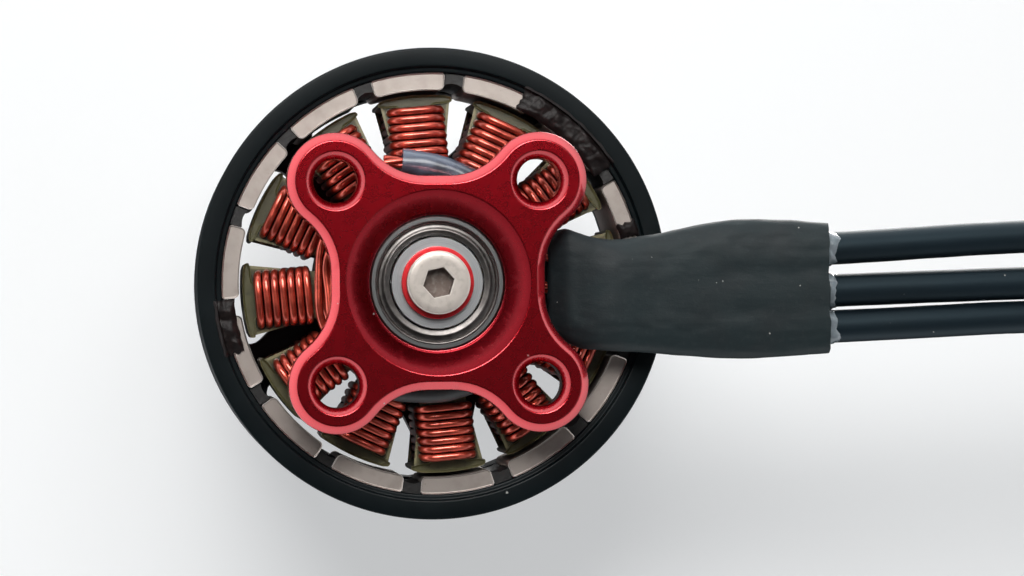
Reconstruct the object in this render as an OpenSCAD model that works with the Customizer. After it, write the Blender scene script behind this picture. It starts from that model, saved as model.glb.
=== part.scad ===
// Brushless outrunner motor with twelve wound teeth and fourteen magnets.
// The origin is the centre of the mounting face, +Z runs along the shaft towards the
// propeller, and the three leads leave along +X. All sizes are in millimetres.

/* [Base] */
// Spacing of the square bolt pattern
bolt_spacing = 12; // [12:0.5:12.5]
// Diameter of each bolt hole
bolt_hole_d = 2.6; // [2.2:0.1:2.8]
// Radius of the rounded end of each arm
arm_end_r = 2.85; // [2.6:0.05:2.9]
// Distance of each flank from the motor axis
flank_distance = 6.3; // [6.2:0.05:6.4]
// Radius of the concave fillet between a flank and an arm
arm_fillet_r = 3.9; // [3.4:0.1:4.2]
// Thickness of the arms
plate_t = 2.2; // [2:0.1:2.3]
// Width of the chamfer round the mounting face
plate_chamfer = 0.5; // [0.3:0.05:0.6]

/* [Bearings] */
// Bore of each bearing
bearing_bore = 4; // [4:1:4]
// Outer diameter of each bearing
bearing_od = 8; // [8:1:8]
// Width of each bearing
bearing_w = 3; // [3:0.5:3.5]
// Diameter of each ball
ball_d = 1.191; // [1.15:0.001:1.2]
// Number of balls in each bearing
ball_count = 8; // [6:1:8]

/* [Stator] */
// Number of wound teeth
tooth_count = 12; // [12:1:12]
// Outer diameter of the stator
stator_d = 22.7; // [22.2:0.1:22.8]
// Height of the lamination stack
stack_h = 5; // [4:0.5:5]
// Width of each tooth stem
tooth_w = 2; // [1.8:0.1:2.1]
// Diameter of the enamelled wire
wire_d = 0.49; // [0.4:0.01:0.5]
// Turns side by side in one layer of a coil
turns_per_layer = 7; // [6:1:7]

/* [Rotor] */
// Outer diameter of the bell
bell_d = 28.2; // [28:0.1:29]
// Number of magnets
magnet_count = 14; // [14:2:14]
// Angle covered by one magnet
magnet_angle = 20.5; // [18:0.5:22]
// Radial thickness of each magnet
magnet_t = 1.02; // [0.9:0.01:1.05]
// Number of spokes in the bell
spoke_count = 5; // [4:1:6]
// Width of each spoke
spoke_w = 2.6; // [2:0.1:3]
// Diameter of the threaded propeller post
post_d = 5; // [5:1:5]
// Height of the propeller post above its seat
post_h = 12.4; // [10:0.1:14]

/* [Leads] */
// Diameter over the insulation of a lead
lead_d = 1.96; // [1.7:0.01:1.98]
// Diameter of the stranded conductor
conductor_d = 0.92; // [0.8:0.01:0.95]
// Distance from the motor axis to the cut end of the insulation
lead_reach = 57; // [40:1:120]

/* [Hidden] */
$fn = 64;

// Gap left between pieces that are pressed or glued together
fit_gap = 0.02;
// How far a cutter runs past the face that it opens
cut_over = 1;

// Heights along the shaft, from the mounting face
bearing_recess = 1.2;
lower_bearing_z = bearing_recess + bearing_w / 2;
rim_z = 3.8;
magnet_z0 = rim_z + 0.3;
magnet_h = 7.1;
stack_z = 5.2;
end_turn_h = 1;
tube_top_z = 11.7;
upper_bearing_z = tube_top_z - bearing_w / 2;
cap_z = 12;
spoke_z0 = 12.5;
spoke_z1 = 14.3;
seat_z = 15.6;

// Radii of the base
tube_r = 5.38;
pocket_r = bearing_od / 2 + fit_gap / 2;
recess_r = 5.46;
recess_end_r = pocket_r + 0.14;
between_bearings_r = 3.5;
hole_chamfer = 0.44;

// Radii of the bearings
pitch_r = (bearing_bore + bearing_od) / 4;
inner_land_r = 2.72;
outer_land_r = 3.42;
groove_r = ball_d / 2 + 0.03;
race_chamfer = 0.25;
race_edge = 0.12;
shield_t = 0.12;
shield_depth = 0.28;
shield_r0 = 2.86;
shield_r1 = 3.56;
shield_rib_r = 3.2;
cage_r0 = 2.8;
cage_r1 = 3.3;
cage_z0 = -0.3;
cage_z1 = 0.88;

// Radii and angles of the stator and the rotor
tooth_angle = -4.8;
tip_angle = 22.5;
tip_inner = stator_d / 2 - 0.65;
core_ring_r = 7;
coil_r1 = tip_inner - 0.03;
coil_r0 = coil_r1 - turns_per_layer * wire_d;
coil_side = 1.5 * wire_d;
bell_r = bell_d / 2;
flux_inner_r = bell_r - 1.48;
rim_inner_r = bell_r - 1.14;
magnet_r1 = flux_inner_r - fit_gap;
magnet_r0 = magnet_r1 - magnet_t;
magnet_pitch = 360 / magnet_count;
magnet_first = 6.56;
spoke_pitch = 360 / spoke_count;
spoke_first = 10.5;
hub_r = 5;
opening_r = 11.9;

// Bare wires round the hub: radius, height, start angle, swept angle
crossover_runs = [[6.45, 3.1, 150, 52], [6.98, 3.3, 155, 62], [6.7, 3.85, 146, 40]];

// Wire tails of the phases, which run round the hub and then out to the leads
tail_z = 3.3;
tail_r = 0.42;
tail_hub_r = 6.2;
tail_turn = 22;
tail_ease = 1.4;
tail_straight = 3;
tail_end = -11.2;
tail_steps = 12;
sleeve_wall = 0.3;
sleeve_steps = 9;

// Shaft and its fasteners
shaft_r = bearing_bore / 2 - fit_gap / 2;
shaft_z0 = bearing_recess + 0.1;
screw_r = 1;
screw_tip_z = 6.6;
washer_t = 0.38;
washer_r = 2.14;
head_r = 1.87;
head_z = 0.05;
socket_af = 1.5;

// Lead run: each lead crosses lead_exit_x at its own y, then drifts by its own slope
lead_z = 1.9;
lead_exit_x = 24;
lead_exit_y = [-1.87, 0.66, 2.8];
lead_slope = [-2.8, -2.2, -1.6];
insulation_start = -8.1;
conductor_start = -11;
solder_start = -12.4;
solder_len = 3.2;
solder_r = 0.62;
tinned_tip = 3;

// Heat-shrink sections: distance from the axis, low and high y, low and high z
shrink_sections = [
    [6.7, -2.9, 2.9, 2.25, 4.05], [7.2, -3.05, 3.05, 1.8, 4],
    [7.6, -3.15, 3.45, 1.4, 3.95], [8.5, -2.8, 3.93, 1, 3.7], [9.7, -2.45, 4.08, 0.5, 3.45],
    [12.7, -2.63, 4.28, 0.5, 3.35], [15.2, -3.1, 4.52, 0.5, 3.35],
    [17, -3.43, 4.63, 0.5, 3.35], [18.8, -3.54, 4.67, 0.5, 3.35],
    [20.7, -3.47, 4.6, 0.5, 3.35], [23.5, -3.27, 4.42, 0.5, 3.35]
];
shrink_z0 = 0.5;
shrink_wall = 0.3;
shrink_sides = 40;
shrink_flatness = 0.62;

// Patches of balancing putty: start angle, swept angle, inner and outer radius
putty_patches = [
    [-64, 31, 11.66, 13.1], [-17, 4, 11.6, 12.75], [161, 15, 11.8, 13.2]
];

// ---- Shared shapes ------------------------------------------------------------

// Points along an arc. The arc leaves out skip points at each of its ends.
function arc(centre, r, from, to, steps, skip = 0) = [
    for (i = [skip : steps - skip])
        let (a = from + (to - from) * i / steps)
        [centre[0] + r * cos(a), centre[1] + r * sin(a)]
];

function bezier(p, t) =
    pow(1 - t, 3) * p[0] + 3 * t * pow(1 - t, 2) * p[1]
    + 3 * t * t * (1 - t) * p[2] + pow(t, 3) * p[3];

function unit(v) = v / norm(v);

// A rounded rectangle, as the points of a polygon
function rounded_rect(w, h, r, steps = 6) = concat(
    arc([w / 2 - r, h / 2 - r], r, 0, 90, steps),
    arc([r - w / 2, h / 2 - r], r, 90, 180, steps),
    arc([r - w / 2, r - h / 2], r, 180, 270, steps),
    arc([w / 2 - r, r - h / 2], r, 270, 360, steps)
);

// Skin over a row of equal rings of points, each turning counterclockwise about the
// direction of travel. A second row makes it a tube.
module skin(rings, bore_rings = []) {
    n = len(rings[0]);
    rows = len(rings);
    bore = rows * n;
    walls = [
        for (i = [0 : rows - 2], j = [0 : n - 1])
            let (k = (j + 1) % n)
            [(i + 1) * n + j, (i + 1) * n + k, i * n + k, i * n + j]
    ];
    bore_walls = [
        for (f = walls) [f[3] + bore, f[2] + bore, f[1] + bore, f[0] + bore]
    ];
    caps = [
        [for (j = [0 : n - 1]) j],
        [for (j = [n - 1 : -1 : 0]) (rows - 1) * n + j]
    ];
    ends = [
        for (row = [0, rows - 1], j = [0 : n - 1])
            let (a = row * n + j, b = row * n + (j + 1) % n)
            row == 0 ? [a, b, b + bore, a + bore] : [b, a, a + bore, b + bore]
    ];
    points = [for (ring = concat(rings, bore_rings)) for (p = ring) p];
    solid = len(bore_rings) == 0;
    faces = solid ? concat(walls, caps) : concat(walls, bore_walls, ends);
    polyhedron(points = points, faces = faces);
}

// Circles of radius r square to a path, with their first point to the side
function path_rings(path, r, sides) = [
    for (i = [0 : len(path) - 1])
        let (
            ahead = path[min(i + 1, len(path) - 1)],
            behind = path[max(i - 1, 0)],
            along = unit(ahead - behind),
            side = unit(cross(along, [0, 0, 1])),
            up = cross(along, side)
        )
        [for (j = [0 : sides - 1])
            path[i] + r * (cos(360 * j / sides) * side + sin(360 * j / sides) * up)]
];

// Ring sector with a square section, centred on the X axis
module ring_sector(r0, r1, angle, z0, z1) {
    rotate([0, 0, -angle / 2])
        rotate_extrude(angle = angle)
            translate([r0, z0])
                square([r1 - r0, z1 - z0]);
}

module ring(r0, r1, z0, z1) {
    translate([0, 0, z0])
        difference() {
            cylinder(r = r1, h = z1 - z0);
            translate([0, 0, -cut_over])
                cylinder(r = r0, h = z1 - z0 + 2 * cut_over);
        }
}

// Puts its children on the axis of a lead, with +Z along the lead
module on_lead(i) {
    translate([lead_exit_x, lead_exit_y[i], lead_z])
        rotate([0, 0, lead_slope[i]])
            rotate([0, 90, 0])
                children();
}

function lead_point(i, along) = [
    lead_exit_x + along * cos(lead_slope[i]),
    lead_exit_y[i] + along * sin(lead_slope[i]),
    lead_z
];

// ---- Base ---------------------------------------------------------------------

// Outline of the four-armed plate, drawn in by the distance inset
function plate_outline(inset) =
    let (
        hole = bolt_spacing / 2,
        end_r = arm_end_r - inset,
        fillet = arm_fillet_r + inset,
        fillet_x = flank_distance + arm_fillet_r,
        reach = arm_end_r + arm_fillet_r,
        fillet_y = hole - sqrt(reach * reach - pow(fillet_x - hole, 2)),
        join = atan2(hole - fillet_y, hole - fillet_x),
        quarter = concat(
            arc([fillet_x, fillet_y], fillet, 180, join, 8),
            arc([hole, hole], end_r, join - 180, 270 - join, 28, 1),
            arc([fillet_y, fillet_x], fillet, 90 - join + 360, 270, 8)
        )
    )
    [for (turn = [0 : 3]) for (p = quarter)
        [p[0] * cos(90 * turn) - p[1] * sin(90 * turn),
         p[0] * sin(90 * turn) + p[1] * cos(90 * turn)]];

function at_height(outline, z) = [for (p = outline) [p[0], p[1], z]];

// Band that cuts the chamfer round the mounting face
module plate_chamfer_band() {
    margin = 0.4;
    outer = plate_outline(-2 * margin);
    skin(
        [at_height(outer, -margin), at_height(outer, plate_chamfer + margin)],
        [
            at_height(plate_outline(plate_chamfer + margin), -margin),
            at_height(plate_outline(-margin), plate_chamfer + margin)
        ]
    );
}

module arm_plate() {
    difference() {
        linear_extrude(height = plate_t)
            polygon(plate_outline(0));
        plate_chamfer_band();
    }
}

// Plain hole through an arm, countersunk on the mounting face
module bolt_hole() {
    r = bolt_hole_d / 2;
    translate([0, 0, -cut_over])
        cylinder(r = r, h = plate_t + 2 * cut_over);
    translate([0, 0, -cut_over])
        cylinder(r1 = r + hole_chamfer + cut_over, r2 = r, h = hole_chamfer + cut_over);
}

module motor_base() {
    hole = bolt_spacing / 2;
    cone_rise = (recess_r - recess_end_r) / bearing_recess;
    color("crimson")
        difference() {
            union() {
                arm_plate();
                translate([0, 0, plate_t / 2])
                    cylinder(r = tube_r, h = tube_top_z - plate_t / 2);
            }
            for (x = [-hole, hole], y = [-hole, hole])
                translate([x, y, 0])
                    bolt_hole();
            translate([0, 0, -cut_over])
                cylinder(r1 = recess_r + cone_rise * cut_over, r2 = recess_end_r,
                    h = bearing_recess + cut_over);
            translate([0, 0, bearing_recess - fit_gap])
                cylinder(r = pocket_r, h = bearing_w + 2 * fit_gap);
            translate([0, 0, bearing_recess])
                cylinder(r = between_bearings_r, h = tube_top_z);
            translate([0, 0, tube_top_z - bearing_w - fit_gap])
                cylinder(r = pocket_r, h = bearing_w + cut_over);
        }
}

// ---- Bearings -----------------------------------------------------------------

// Cylinder with both ends chamfered
module chamfered_cylinder(r, h, chamfer) {
    translate([0, 0, chamfer - h / 2])
        cylinder(r = r, h = h - 2 * chamfer);
    for (side = [0, 1])
        mirror([0, 0, side])
            translate([0, 0, h / 2 - chamfer])
                cylinder(r1 = r, r2 = r - chamfer, h = chamfer);
}

module ball_groove() {
    rotate_extrude()
        translate([pitch_r, 0])
            circle(r = groove_r);
}

module outer_race(z) {
    color("silver")
        translate([0, 0, z])
            difference() {
                chamfered_cylinder(bearing_od / 2, bearing_w, race_chamfer);
                cylinder(r = outer_land_r, h = bearing_w + cut_over, center = true);
                ball_groove();
                for (side = [0, 1])
                    mirror([0, 0, side])
                        translate([0, 0, bearing_w / 2 - shield_depth - shield_t])
                            ring(outer_land_r - cut_over, shield_r1 + fit_gap,
                                -fit_gap, shield_t + fit_gap);
            }
}

module inner_race(z) {
    color("silver")
        translate([0, 0, z])
            difference() {
                chamfered_cylinder(inner_land_r, bearing_w, race_edge);
                cylinder(r = bearing_bore / 2, h = bearing_w + cut_over, center = true);
                ball_groove();
            }
}

module bearing_shields(z) {
    rib = shield_t;
    color("gray")
        translate([0, 0, z])
            for (side = [0, 1])
                mirror([0, 0, side])
                    translate([0, 0, bearing_w / 2 - shield_depth - shield_t])
                        rotate_extrude()
                            polygon([
                                [shield_r0, 0], [shield_r1, 0], [shield_r1, shield_t],
                                [shield_rib_r + rib, shield_t],
                                [shield_rib_r + rib / 2, shield_t + rib],
                                [shield_r0, shield_t + rib]
                            ]);
}

module at_balls() {
    for (i = [0 : ball_count - 1])
        rotate([0, 0, 360 * i / ball_count])
            translate([pitch_r, 0, 0])
                children();
}

module bearing_balls(z) {
    color("lightgray")
        translate([0, 0, z])
            at_balls()
                sphere(d = ball_d);
}

// Crown cage, open on the side away from its solid rim
module bearing_cage(z) {
    pocket = ball_d / 2 + 0.05;
    color("goldenrod")
        translate([0, 0, z])
            difference() {
                ring(cage_r0, cage_r1, cage_z0, cage_z1);
                at_balls()
                    sphere(r = pocket);
            }
}

module lower_bearing_outer_race() {
    outer_race(lower_bearing_z);
}

module lower_bearing_inner_race() {
    inner_race(lower_bearing_z);
}

module lower_bearing_shields() {
    bearing_shields(lower_bearing_z);
}

module lower_bearing_cage() {
    bearing_cage(lower_bearing_z);
}

module lower_bearing_balls() {
    bearing_balls(lower_bearing_z);
}

module upper_bearing_outer_race() {
    outer_race(upper_bearing_z);
}

module upper_bearing_inner_race() {
    inner_race(upper_bearing_z);
}

module upper_bearing_shields() {
    bearing_shields(upper_bearing_z);
}

module upper_bearing_cage() {
    bearing_cage(upper_bearing_z);
}

module upper_bearing_balls() {
    bearing_balls(upper_bearing_z);
}

// ---- Stator and windings ------------------------------------------------------

module tooth_outline() {
    outer_r = stator_d / 2;
    half = tip_angle / 2;
    translate([core_ring_r - 0.2, -tooth_w / 2])
        square([tip_inner - core_ring_r + 0.3, tooth_w]);
    intersection() {
        circle(r = outer_r);
        polygon([
            [tip_inner, -tip_inner * tan(half)], [bell_r, -bell_r * tan(half)],
            [bell_r, bell_r * tan(half)], [tip_inner, tip_inner * tan(half)]
        ]);
    }
}

module stator_core() {
    color("darkolivegreen")
        translate([0, 0, stack_z])
            linear_extrude(height = stack_h)
                difference() {
                    union() {
                        circle(r = core_ring_r);
                        for (i = [0 : tooth_count - 1])
                            rotate([0, 0, tooth_angle + i * 360 / tooth_count])
                                tooth_outline();
                    }
                    circle(r = tube_r + fit_gap);
                }
}

// One coil: a ring of wire round a tooth stem, with its axis along the tooth
module coil() {
    hole_w = tooth_w + 2 * fit_gap;
    hole_h = stack_h + 2 * fit_gap;
    wound_w = hole_w + 2 * coil_side;
    wound_h = hole_h + 2 * end_turn_h;
    translate([coil_r0, 0, stack_z + stack_h / 2])
        rotate([90, 0, 90])
            linear_extrude(height = coil_r1 - coil_r0)
                difference() {
                    polygon(rounded_rect(wound_w, wound_h, coil_side + 0.3));
                    square([hole_w, hole_h], center = true);
                }
}

// A phase holds two neighbouring coils and the two opposite them
module phase_coils(first) {
    color("chocolate")
        for (i = [0, 1, 6, 7])
            rotate([0, 0, tooth_angle + (first + i) * 360 / tooth_count])
                coil();
}

module phase_a_coils() {
    phase_coils(0);
}

module phase_b_coils() {
    phase_coils(2);
}

module phase_c_coils() {
    phase_coils(4);
}

// Bare runs of wire from one coil pair to the next, round the hub
module winding_crossovers() {
    color("sienna")
        for (run = crossover_runs)
            rotate([0, 0, run[2]])
                rotate_extrude(angle = run[3])
                    translate([run[0], run[1]])
                        circle(d = wire_d);
}

// Path of the wire bundle that runs round the hub and out to lead i
function hub_run(from, to, r_from, r_to, z) = [
    for (k = [0 : tail_steps])
        let (a = from + (to - from) * k / tail_steps)
        let (r = r_to + (r_from - r_to) * pow(1 - k / tail_steps, 3))
        [r * cos(a), r * sin(a), z]
];

function out_run(start, toward, i) =
    let (
        finish = lead_point(i, tail_end),
        before = lead_point(i, tail_end - tail_straight),
        handles = [start, start + tail_ease * toward, before, finish]
    )
    [for (k = [1 : tail_steps]) bezier(handles, k / tail_steps)];

upper_run = hub_run(-112, -tail_turn, 7.85, tail_hub_r, tail_z);
lower_run = hub_run(122, tail_turn, 6.9, tail_hub_r, tail_z);
middle_start = [6, 0.2, tail_z + 0.3];
tail_heading = [sin(tail_turn), cos(tail_turn), 0];

module phase_tails() {
    paths = [
        concat(upper_run, out_run(upper_run[tail_steps], tail_heading, 0)),
        concat([middle_start], out_run(middle_start, [0.6, 0, -0.5], 1)),
        concat(lower_run, out_run(lower_run[tail_steps],
            [tail_heading[0], -tail_heading[1], 0], 2))
    ];
    color("sienna")
        for (path = paths)
            skin(path_rings(path, tail_r, 12));
}

// Insulating sleeve over the first part of a run
module run_sleeve(run, wall) {
    covered = [for (k = [1 : sleeve_steps]) run[k]];
    bore_r = tail_r + 3 * fit_gap;
    skin(path_rings(covered, tail_r + wall, 24), path_rings(covered, bore_r, 24));
}

module upper_sleeve() {
    color("darkslategray")
        run_sleeve(upper_run, sleeve_wall + 0.08);
}

module lower_sleeve() {
    color("dimgray")
        run_sleeve(lower_run, sleeve_wall);
}

// ---- Leads --------------------------------------------------------------------

// Barrel of solder that joins a conductor to its phase tail
module solder_joints() {
    socket_r = conductor_d / 2 + fit_gap;
    taper = 0.5;
    color("lightgray")
        for (i = [0 : 2])
            on_lead(i)
                translate([0, 0, solder_start])
                    difference() {
                        rotate_extrude()
                            polygon([
                                [0, 0], [solder_r - 0.1, 0], [solder_r, taper],
                                [solder_r, solder_len - taper],
                                [solder_r - 0.1, solder_len], [0, solder_len]
                            ]);
                        translate([0, 0, -cut_over])
                            cylinder(r = socket_r, h = solder_len + 2 * cut_over);
                    }
}

module lead_conductors() {
    reach = lead_reach - lead_exit_x + tinned_tip;
    color("silver")
        for (i = [0 : 2])
            on_lead(i)
                translate([0, 0, conductor_start])
                    cylinder(d = conductor_d, h = reach - conductor_start);
}

module lead_insulation(i) {
    reach = lead_reach - lead_exit_x;
    color("black")
        on_lead(i)
            translate([0, 0, insulation_start])
                difference() {
                    cylinder(d = lead_d, h = reach - insulation_start);
                    translate([0, 0, -cut_over])
                        cylinder(d = conductor_d + fit_gap,
                            h = reach - insulation_start + 2 * cut_over);
                }
}

module lead_insulation_a() {
    lead_insulation(0);
}

module lead_insulation_b() {
    lead_insulation(1);
}

module lead_insulation_c() {
    lead_insulation(2);
}

// Section of the heat-shrink: a flattened oval drawn in by the distance inset
function shrink_ring(section, inset) =
    let (
        half_w = (section[2] - section[1]) / 2 - inset,
        half_h = (section[4] - section[3]) / 2 - inset,
        mid_y = (section[1] + section[2]) / 2,
        mid_z = (section[3] + section[4]) / 2
    )
    [for (j = [0 : shrink_sides - 1])
        let (
            a = 360 * j / shrink_sides,
            c = sign(cos(a)) * pow(abs(cos(a)), shrink_flatness),
            s = sign(sin(a)) * pow(abs(sin(a)), shrink_flatness)
        )
        [section[0], mid_y + half_w * c, mid_z + half_h * s]];

module lead_heat_shrink() {
    color("darkslategray")
        skin(
            [for (section = shrink_sections) shrink_ring(section, 0)],
            [for (section = shrink_sections) shrink_ring(section, shrink_wall)]
        );
}

// Drop of adhesive where each lead leaves the heat-shrink
module lead_adhesive() {
    drop_r = lead_d / 2 + 0.3;
    drop_start = lead_exit_x - 0.45;
    color("gainsboro")
        difference() {
            intersection() {
                union()
                    for (i = [0 : 2])
                        on_lead(i)
                            translate([0, 0, -0.6])
                                sphere(r = drop_r);
                translate([drop_start, -bell_r, shrink_z0])
                    cube([2 * drop_r, bell_d, 3 * drop_r]);
            }
            for (i = [0 : 2])
                on_lead(i)
                    cylinder(d = lead_d + fit_gap, h = bell_d, center = true);
        }
}

// ---- Rotor --------------------------------------------------------------------

// Outline of one opening: a rounded tip near the hub and a curved outer edge
function opening_outline() =
    let (
        tip_r = 2,
        corner_r = 0.9,
        corner_path = opening_r - corner_r,
        corner_angle = spoke_pitch / 2 - asin((spoke_w / 2 + corner_r) / corner_path),
        tip = [hub_r + 1.2 + tip_r, 0],
        corner = corner_path * [cos(corner_angle), sin(corner_angle)],
        step = corner - tip,
        edge = atan2(step[1], step[0]) + acos((tip_r - corner_r) / norm(step))
    )
    concat(
        arc(tip, tip_r, edge, 360 - edge, 8),
        arc([corner[0], -corner[1]], corner_r, -edge, -corner_angle, 6),
        arc([0, 0], opening_r, -corner_angle, corner_angle, 10, 1),
        arc(corner, corner_r, corner_angle, edge, 6)
    );

module bell_cap() {
    spigot_z = magnet_z0 + magnet_h + 0.2;
    shoulder = 1.3;
    nose_r = 2.9;
    mouth_r = post_d / 2 + 0.1;
    color("#202428")
        difference() {
            rotate_extrude()
                polygon([
                    [shaft_r + fit_gap, tube_top_z + 0.22], [nose_r, tube_top_z + 0.22],
                    [nose_r, cap_z + 0.2], [hub_r, cap_z + 0.2],
                    [hub_r + 0.6, spoke_z0], [opening_r - 0.3, spoke_z0],
                    [opening_r, cap_z], [opening_r, spigot_z],
                    [flux_inner_r - fit_gap, spigot_z], [flux_inner_r - fit_gap, cap_z],
                    [bell_r, cap_z], [bell_r, spoke_z1 - shoulder],
                    [bell_r - shoulder, spoke_z1], [hub_r + 1, spoke_z1],
                    [hub_r, seat_z - 0.3], [hub_r - 0.3, seat_z],
                    [mouth_r, seat_z], [shaft_r + fit_gap, seat_z + shaft_r - mouth_r]
                ]);
            for (i = [0 : spoke_count - 1])
                rotate([0, 0, spoke_first + (i + 0.5) * spoke_pitch])
                    translate([0, 0, cap_z - cut_over])
                        linear_extrude(height = seat_z - cap_z)
                            polygon(opening_outline());
        }
}

module flux_ring() {
    edge = 0.15;
    color("#1c2024")
        rotate_extrude()
            polygon([
                [rim_inner_r, rim_z], [bell_r - edge, rim_z], [bell_r, rim_z + edge],
                [bell_r, cap_z - fit_gap], [flux_inner_r, cap_z - fit_gap],
                [flux_inner_r, magnet_z0 - fit_gap], [rim_inner_r, magnet_z0 - fit_gap]
            ]);
}

module magnets() {
    color("lightgray")
        for (i = [0 : magnet_count - 1])
            rotate([0, 0, magnet_first + i * magnet_pitch])
                ring_sector(magnet_r0, magnet_r1, magnet_angle,
                    magnet_z0, magnet_z0 + magnet_h);
}

// Black filler between neighbouring magnets
module magnet_adhesive() {
    side_gap = 0.15;
    color("black")
        for (i = [0 : magnet_count - 1])
            rotate([0, 0, magnet_first + (i + 0.5) * magnet_pitch])
                ring_sector(magnet_r0 + 0.25, magnet_r1,
                    magnet_pitch - magnet_angle - 2 * side_gap,
                    magnet_z0 + 0.2, magnet_z0 + magnet_h - 0.2);
}

module balance_putty() {
    putty_z = rim_z - 0.3;
    over_rim_r = rim_inner_r - fit_gap;
    color("#2a1c18")
        for (patch = putty_patches)
            rotate([0, 0, patch[0] + patch[1] / 2]) {
                ring_sector(patch[2], min(patch[3], over_rim_r), patch[1],
                    putty_z, magnet_z0 - fit_gap);
                if (patch[3] > over_rim_r)
                    ring_sector(over_rim_r - 0.2, patch[3], patch[1],
                        putty_z, rim_z - fit_gap);
            }
}

// Steel shaft with the propeller post in one piece, tapped at its lower end
module shaft() {
    post_r = post_d / 2;
    lead_in = 0.5;
    color("silver")
        difference() {
            union() {
                translate([0, 0, shaft_z0])
                    cylinder(r = shaft_r, h = seat_z - shaft_z0 + 0.1);
                translate([0, 0, seat_z + fit_gap])
                    cylinder(r = post_r, h = post_h - lead_in);
                translate([0, 0, seat_z + fit_gap + post_h - lead_in])
                    cylinder(r1 = post_r, r2 = post_r - lead_in, h = lead_in);
            }
            translate([0, 0, shaft_z0 - cut_over])
                cylinder(r = screw_r + fit_gap, h = screw_tip_z + 0.4 - shaft_z0 + cut_over);
        }
}

// Low-head screw with a hexagon socket
module shaft_screw() {
    head_base = bearing_recess - washer_t - fit_gap;
    dome = 0.22;
    socket_depth = 0.55;
    color("gainsboro")
        difference() {
            rotate_extrude()
                polygon([
                    [0, head_z], [head_r - dome, head_z], [head_r - dome / 3, head_z + dome / 3],
                    [head_r, head_z + dome], [head_r, head_base],
                    [screw_r, head_base], [screw_r, screw_tip_z - 0.3],
                    [screw_r - 0.3, screw_tip_z], [0, screw_tip_z]
                ]);
            translate([0, 0, head_z - cut_over])
                cylinder(d = socket_af / cos(30), h = socket_depth + cut_over, $fn = 6);
        }
}

module retaining_washer() {
    color("crimson")
        ring(screw_r + fit_gap, washer_r, bearing_recess - washer_t, bearing_recess - fit_gap);
}

module bell_shim() {
    color("goldenrod")
        ring(shaft_r + fit_gap, inner_land_r, tube_top_z + fit_gap, tube_top_z + 0.2);
}

// ---- Assembly -----------------------------------------------------------------

motor_base();
stator_core();
phase_a_coils();
phase_b_coils();
phase_c_coils();
winding_crossovers();
phase_tails();
upper_sleeve();
lower_sleeve();
solder_joints();
lead_conductors();
lead_insulation_a();
lead_insulation_b();
lead_insulation_c();
lead_heat_shrink();
lead_adhesive();
lower_bearing_outer_race();
lower_bearing_inner_race();
lower_bearing_shields();
lower_bearing_cage();
lower_bearing_balls();
upper_bearing_outer_race();
upper_bearing_inner_race();
upper_bearing_shields();
upper_bearing_cage();
upper_bearing_balls();
bell_cap();
flux_ring();
magnets();
magnet_adhesive();
balance_putty();
shaft();
shaft_screw();
retaining_washer();
bell_shim();
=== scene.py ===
"""Looks of the brushless outrunner motor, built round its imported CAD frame.

Lengths are in millimetres in the CAD frame, and times MM they are Blender's metres. Angles
are in degrees. +Z runs along the shaft towards the propeller and the leads run along +X.
"""
import math
import random

import bmesh
import bpy
import numpy as np
from mathutils import Matrix, Vector, noise


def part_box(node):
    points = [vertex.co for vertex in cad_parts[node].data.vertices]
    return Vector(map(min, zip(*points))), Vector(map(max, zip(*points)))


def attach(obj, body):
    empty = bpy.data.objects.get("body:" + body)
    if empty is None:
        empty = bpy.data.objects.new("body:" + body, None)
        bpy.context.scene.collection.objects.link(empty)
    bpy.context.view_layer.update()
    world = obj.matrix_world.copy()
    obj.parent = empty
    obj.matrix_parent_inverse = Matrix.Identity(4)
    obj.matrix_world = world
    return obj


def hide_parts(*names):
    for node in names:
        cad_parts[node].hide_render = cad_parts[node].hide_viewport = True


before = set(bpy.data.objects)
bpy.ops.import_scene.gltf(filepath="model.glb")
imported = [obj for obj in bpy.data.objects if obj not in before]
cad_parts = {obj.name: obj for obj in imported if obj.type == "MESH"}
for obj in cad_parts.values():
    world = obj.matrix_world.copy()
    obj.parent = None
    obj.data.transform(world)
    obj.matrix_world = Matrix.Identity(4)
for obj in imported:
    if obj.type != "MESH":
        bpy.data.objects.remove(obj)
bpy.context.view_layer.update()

MM = 0.001
TAU = 2 * math.pi
random.seed(7)


def node_box(name):
    """Lowest and highest corner of a CAD node, in millimetres."""
    low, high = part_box(name)
    return np.array(low) / MM, np.array(high) / MM


# ---- Sizes taken from the frame ------------------------------------------------------

RING_LOW, RING_HIGH = node_box("flux_ring")
BELL_R = RING_HIGH[0]
RIM_Z = RING_LOW[2]
CAP_Z = RING_HIGH[2]
STACK_LOW, STACK_HIGH = node_box("stator_core")
STATOR_R = STACK_HIGH[0]
LOWER_BEARING_Z = node_box("lower_bearing_outer_race")[0][2]
UPPER_BEARING_Z = node_box("upper_bearing_outer_race")[0][2]
BEARING_W = node_box("lower_bearing_outer_race")[1][2] - LOWER_BEARING_Z
BEARING_R = node_box("lower_bearing_outer_race")[1][0]
MAGNET_LOW, MAGNET_HIGH = node_box("magnets")
LEAD_END_X = node_box("lead_insulation_a")[1][0]
TIP_END_X = node_box("lead_conductors")[1][0]
SHRINK_LOW, SHRINK_HIGH = node_box("lead_heat_shrink")
SHAFT_LOW, SHAFT_HIGH = node_box("shaft")
SCREW_LOW, SCREW_HIGH = node_box("shaft_screw")
WASHER_LOW, WASHER_HIGH = node_box("retaining_washer")

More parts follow.
